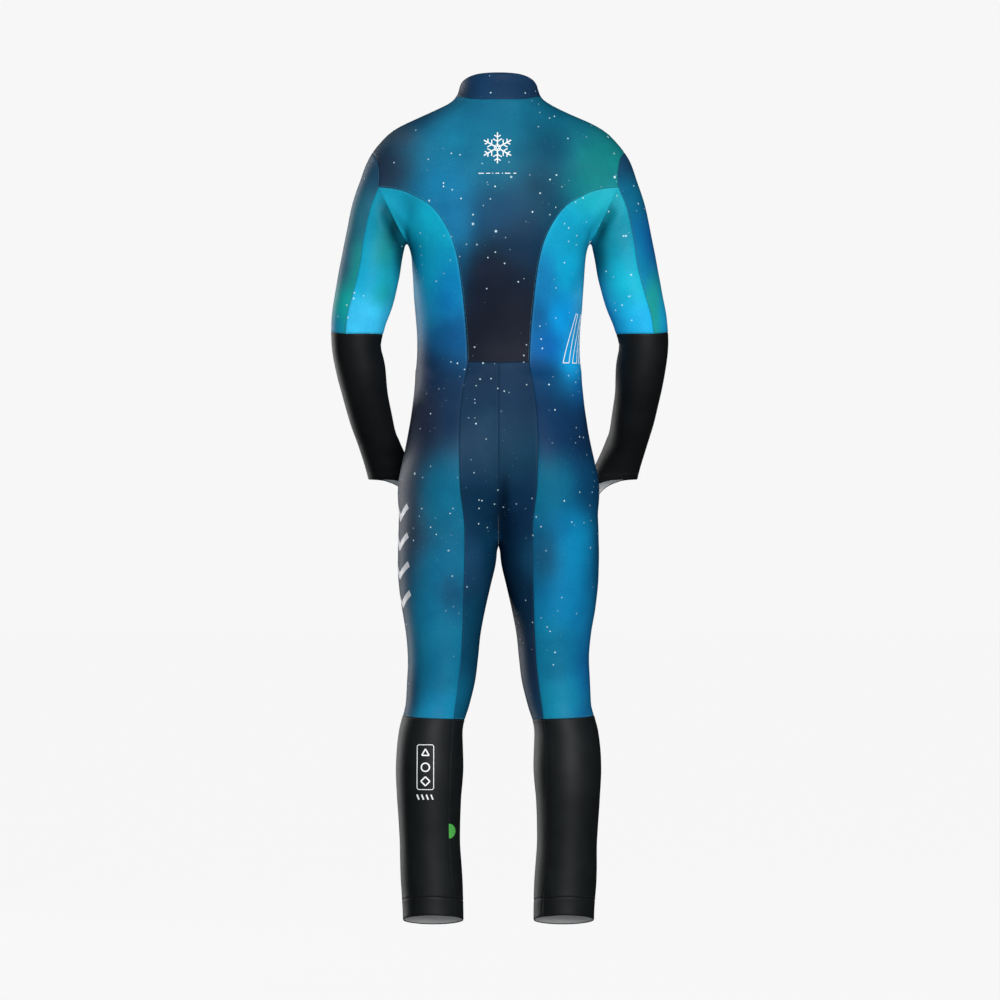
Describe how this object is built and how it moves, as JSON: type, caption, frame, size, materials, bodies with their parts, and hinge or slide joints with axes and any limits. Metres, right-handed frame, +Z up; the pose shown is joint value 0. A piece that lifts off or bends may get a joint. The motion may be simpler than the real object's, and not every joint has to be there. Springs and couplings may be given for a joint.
{
  "type": "race suit",
  "caption": "Tight one-piece long-sleeved stretch suit in worn shape, hollow, with stand-up collar, back and side panels, black forearms and calves and a front zip.",
  "frame": {"origin": "middle of the neck, level with the collar seam at the back, where the wearer carries the suit", "axes": "+Z up to the collar, +Y to the back of the suit, +X to the wearer's left"},
  "size_m": [0.5718, 0.278, 1.4481],
  "materials": {
    "suit_print": "smooth printed stretch knit",
    "suit_dark": "smooth printed stretch knit",
    "black_cloth": "plain black stretch knit",
    "zip_tape": "woven tape",
    "zip_metal": "dark plated cast metal"
  },
  "bodies": {
    "suit": {"collar": "suit_dark", "back_panel": "suit_print", "front_panel_left": "suit_print", "front_panel_right": "suit_print", "under_sleeve_left": "suit_print", "under_sleeve_right": "suit_print", "side_panel_left": "suit_print", "side_panel_right": "suit_print", "seat_panel_left": "suit_dark", "seat_panel_right": "suit_dark", "sleeve_left": "suit_print", "sleeve_right": "suit_print", "forearm_left": "black_cloth", "forearm_right": "black_cloth", "calf_left": "black_cloth", "calf_right": "black_cloth", "ankle_band_left": "black_cloth", "ankle_band_right": "black_cloth", "zip_tape_left": "zip_tape", "zip_tape_right": "zip_tape", "zip_slider": "zip_metal"},
    "pull": {"zip_pull": "zip_metal"}
  },
  "joints": [
    {"name": "pull_hinge", "type": "hinge", "parent": "suit", "child": "pull", "pos_m": [0, -0.08139, -0.00949], "axis": [-1, 0, 0], "range_deg": [0, 150]}
  ]
}
